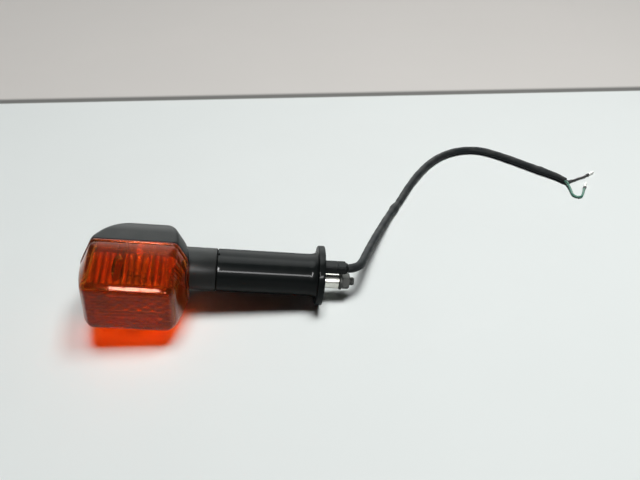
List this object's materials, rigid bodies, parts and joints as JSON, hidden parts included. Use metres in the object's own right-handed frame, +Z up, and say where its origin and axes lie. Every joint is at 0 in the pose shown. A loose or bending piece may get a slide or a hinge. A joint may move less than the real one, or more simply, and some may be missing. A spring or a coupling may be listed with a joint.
{
  "type": "motorcycle turn signal indicator",
  "caption": "Amber turn signal lamp on a black flanged stalk, with through bolt, collar, nut and a two-wire lead, lying on a table.",
  "frame": {"origin": "on the surface the lamp lies on, under the middle of the lamp without its lead", "axes": "+Z up; the lens faces -Y; +X runs towards the mounting end, level, while the stalk itself dips 6.8 degrees towards it"},
  "size_m": [0.404, 0.2178, 0.0701],
  "materials": {
    "amber_lens": "clear amber moulding, ribbed inside",
    "housing_black": "satin black moulding",
    "stalk_rubber": "smooth black rubber with a soft shine",
    "moulding_black": "satin black moulding",
    "seal_rubber": "matt",
    "reflector_bright": "bright metallised plastic",
    "zinc_steel": "zinc plated",
    "collar_steel": "bright turned steel, slightly dulled",
    "dark_steel": "dark oxidised steel",
    "bulb_glass": "clear thin glass",
    "brass": "plain",
    "tungsten": "dark wire",
    "solder": "dull solder",
    "lead_sheath": "dark grey flexible sheath",
    "wire_black": "black insulation",
    "wire_green": "blue-green insulation",
    "crimp_sleeve": "dark sleeve",
    "terminal_tin": "dull tinned metal"
  },
  "bodies": {
    "lamp": {"lens_gasket": "seal_rubber", "housing": "housing_black", "reflector": "reflector_bright", "socket_shell": "zinc_steel", "socket_insulator": "moulding_black", "stalk": "stalk_rubber", "stay_sleeve": "zinc_steel", "stay_bolt": "dark_steel", "collar": "collar_steel", "washer": "dark_steel", "locating_block": "moulding_black", "lead_grommet": "moulding_black", "lead_inner": "lead_sheath", "live_wire_inner": "wire_black", "earth_wire_inner": "wire_green", "lead_sheath": "lead_sheath", "wire_black": "wire_black", "wire_green": "wire_green", "crimp_sleeve_black": "crimp_sleeve", "crimp_sleeve_green": "crimp_sleeve", "bullet_black": "terminal_tin", "bullet_green": "terminal_tin"},
    "lens": {"lens": "amber_lens"},
    "nut": {"nut": "dark_steel"},
    "screw_upper": {"lens_screw_upper": "zinc_steel"},
    "screw_lower": {"lens_screw_lower": "zinc_steel"},
    "bulb": {"bulb_glass": "bulb_glass", "bulb_cap": "brass", "bulb_filament": "tungsten", "bulb_contact": "solder"},
    "contact": {"contact_plunger": "brass", "contact_spring": "zinc_steel"}
  },
  "joints": [
    {"name": "lens_pull", "type": "slide", "parent": "lamp", "child": "lens", "axis": [0, -1, 0], "range_m": [0, 0.0095]},
    {"name": "nut_spin", "type": "hinge", "parent": "lamp", "child": "nut", "pos_m": [0.08358, 0.0105, 0.01448], "axis": [0.9929, 0, -0.1189], "continuous": true},
    {"name": "screw_upper_spin", "type": "hinge", "parent": "lamp", "child": "screw_upper", "pos_m": [-0.0595, 0.0105, 0.05851], "axis": [0, 1, 0], "continuous": true},
    {"name": "screw_lower_spin", "type": "hinge", "parent": "lamp", "child": "screw_lower", "pos_m": [-0.03729, 0.0105, 0.01012], "axis": [0, 1, 0], "continuous": true},
    {"name": "bulb_twist", "type": "hinge", "parent": "lamp", "child": "bulb", "pos_m": [-0.05525, 0.0105, 0.03513], "axis": [0, 1, 0], "range_deg": [0, 22]},
    {"name": "contact_press", "type": "slide", "parent": "lamp", "child": "contact", "axis": [0, 1, 0], "range_m": [0, 0.0012], "stiffness_N_per_m": 400}
  ]
}
